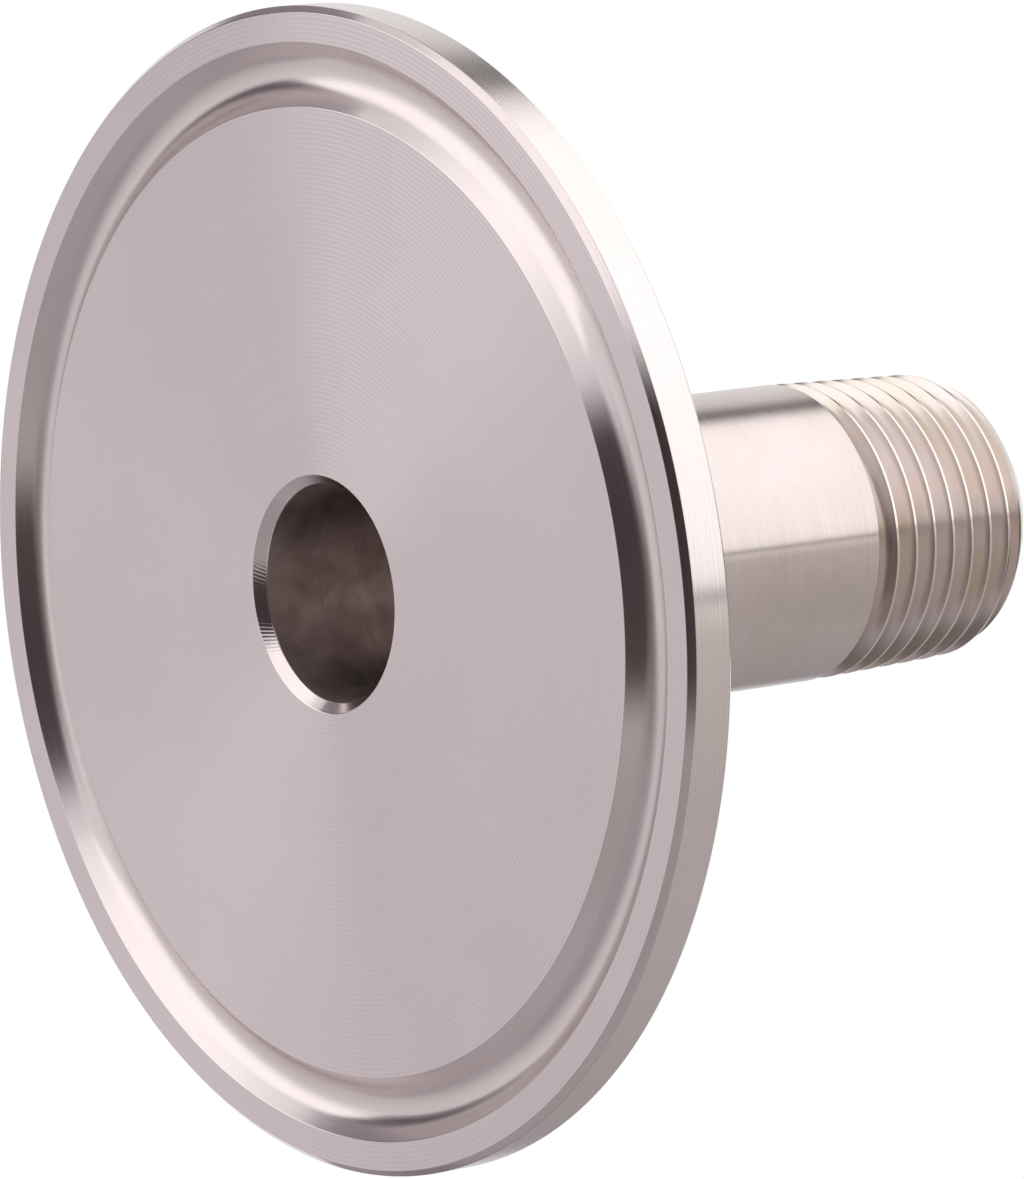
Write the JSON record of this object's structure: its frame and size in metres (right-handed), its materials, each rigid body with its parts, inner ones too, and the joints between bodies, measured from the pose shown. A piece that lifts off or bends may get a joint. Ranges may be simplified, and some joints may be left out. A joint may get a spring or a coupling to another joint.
{
  "type": "sanitary clamp threaded adapter",
  "caption": "Turned stainless adapter: a round clamp flange with a gasket groove and a through bore, on a straight shank that ends in a male taper pipe thread.",
  "frame": {"origin": "centre of the flat sealing face, on the axis; the adapter stands on this face", "axes": "+Z along the axis of turning, from the sealing face towards the threaded end; X and Y lie in the sealing face"},
  "size_m": [0.064, 0.064, 0.0447],
  "materials": {
    "stainless_steel": "turned"
  },
  "bodies": {
    "root": {"adapter_body": "stainless_steel"}
  },
  "joints": []
}
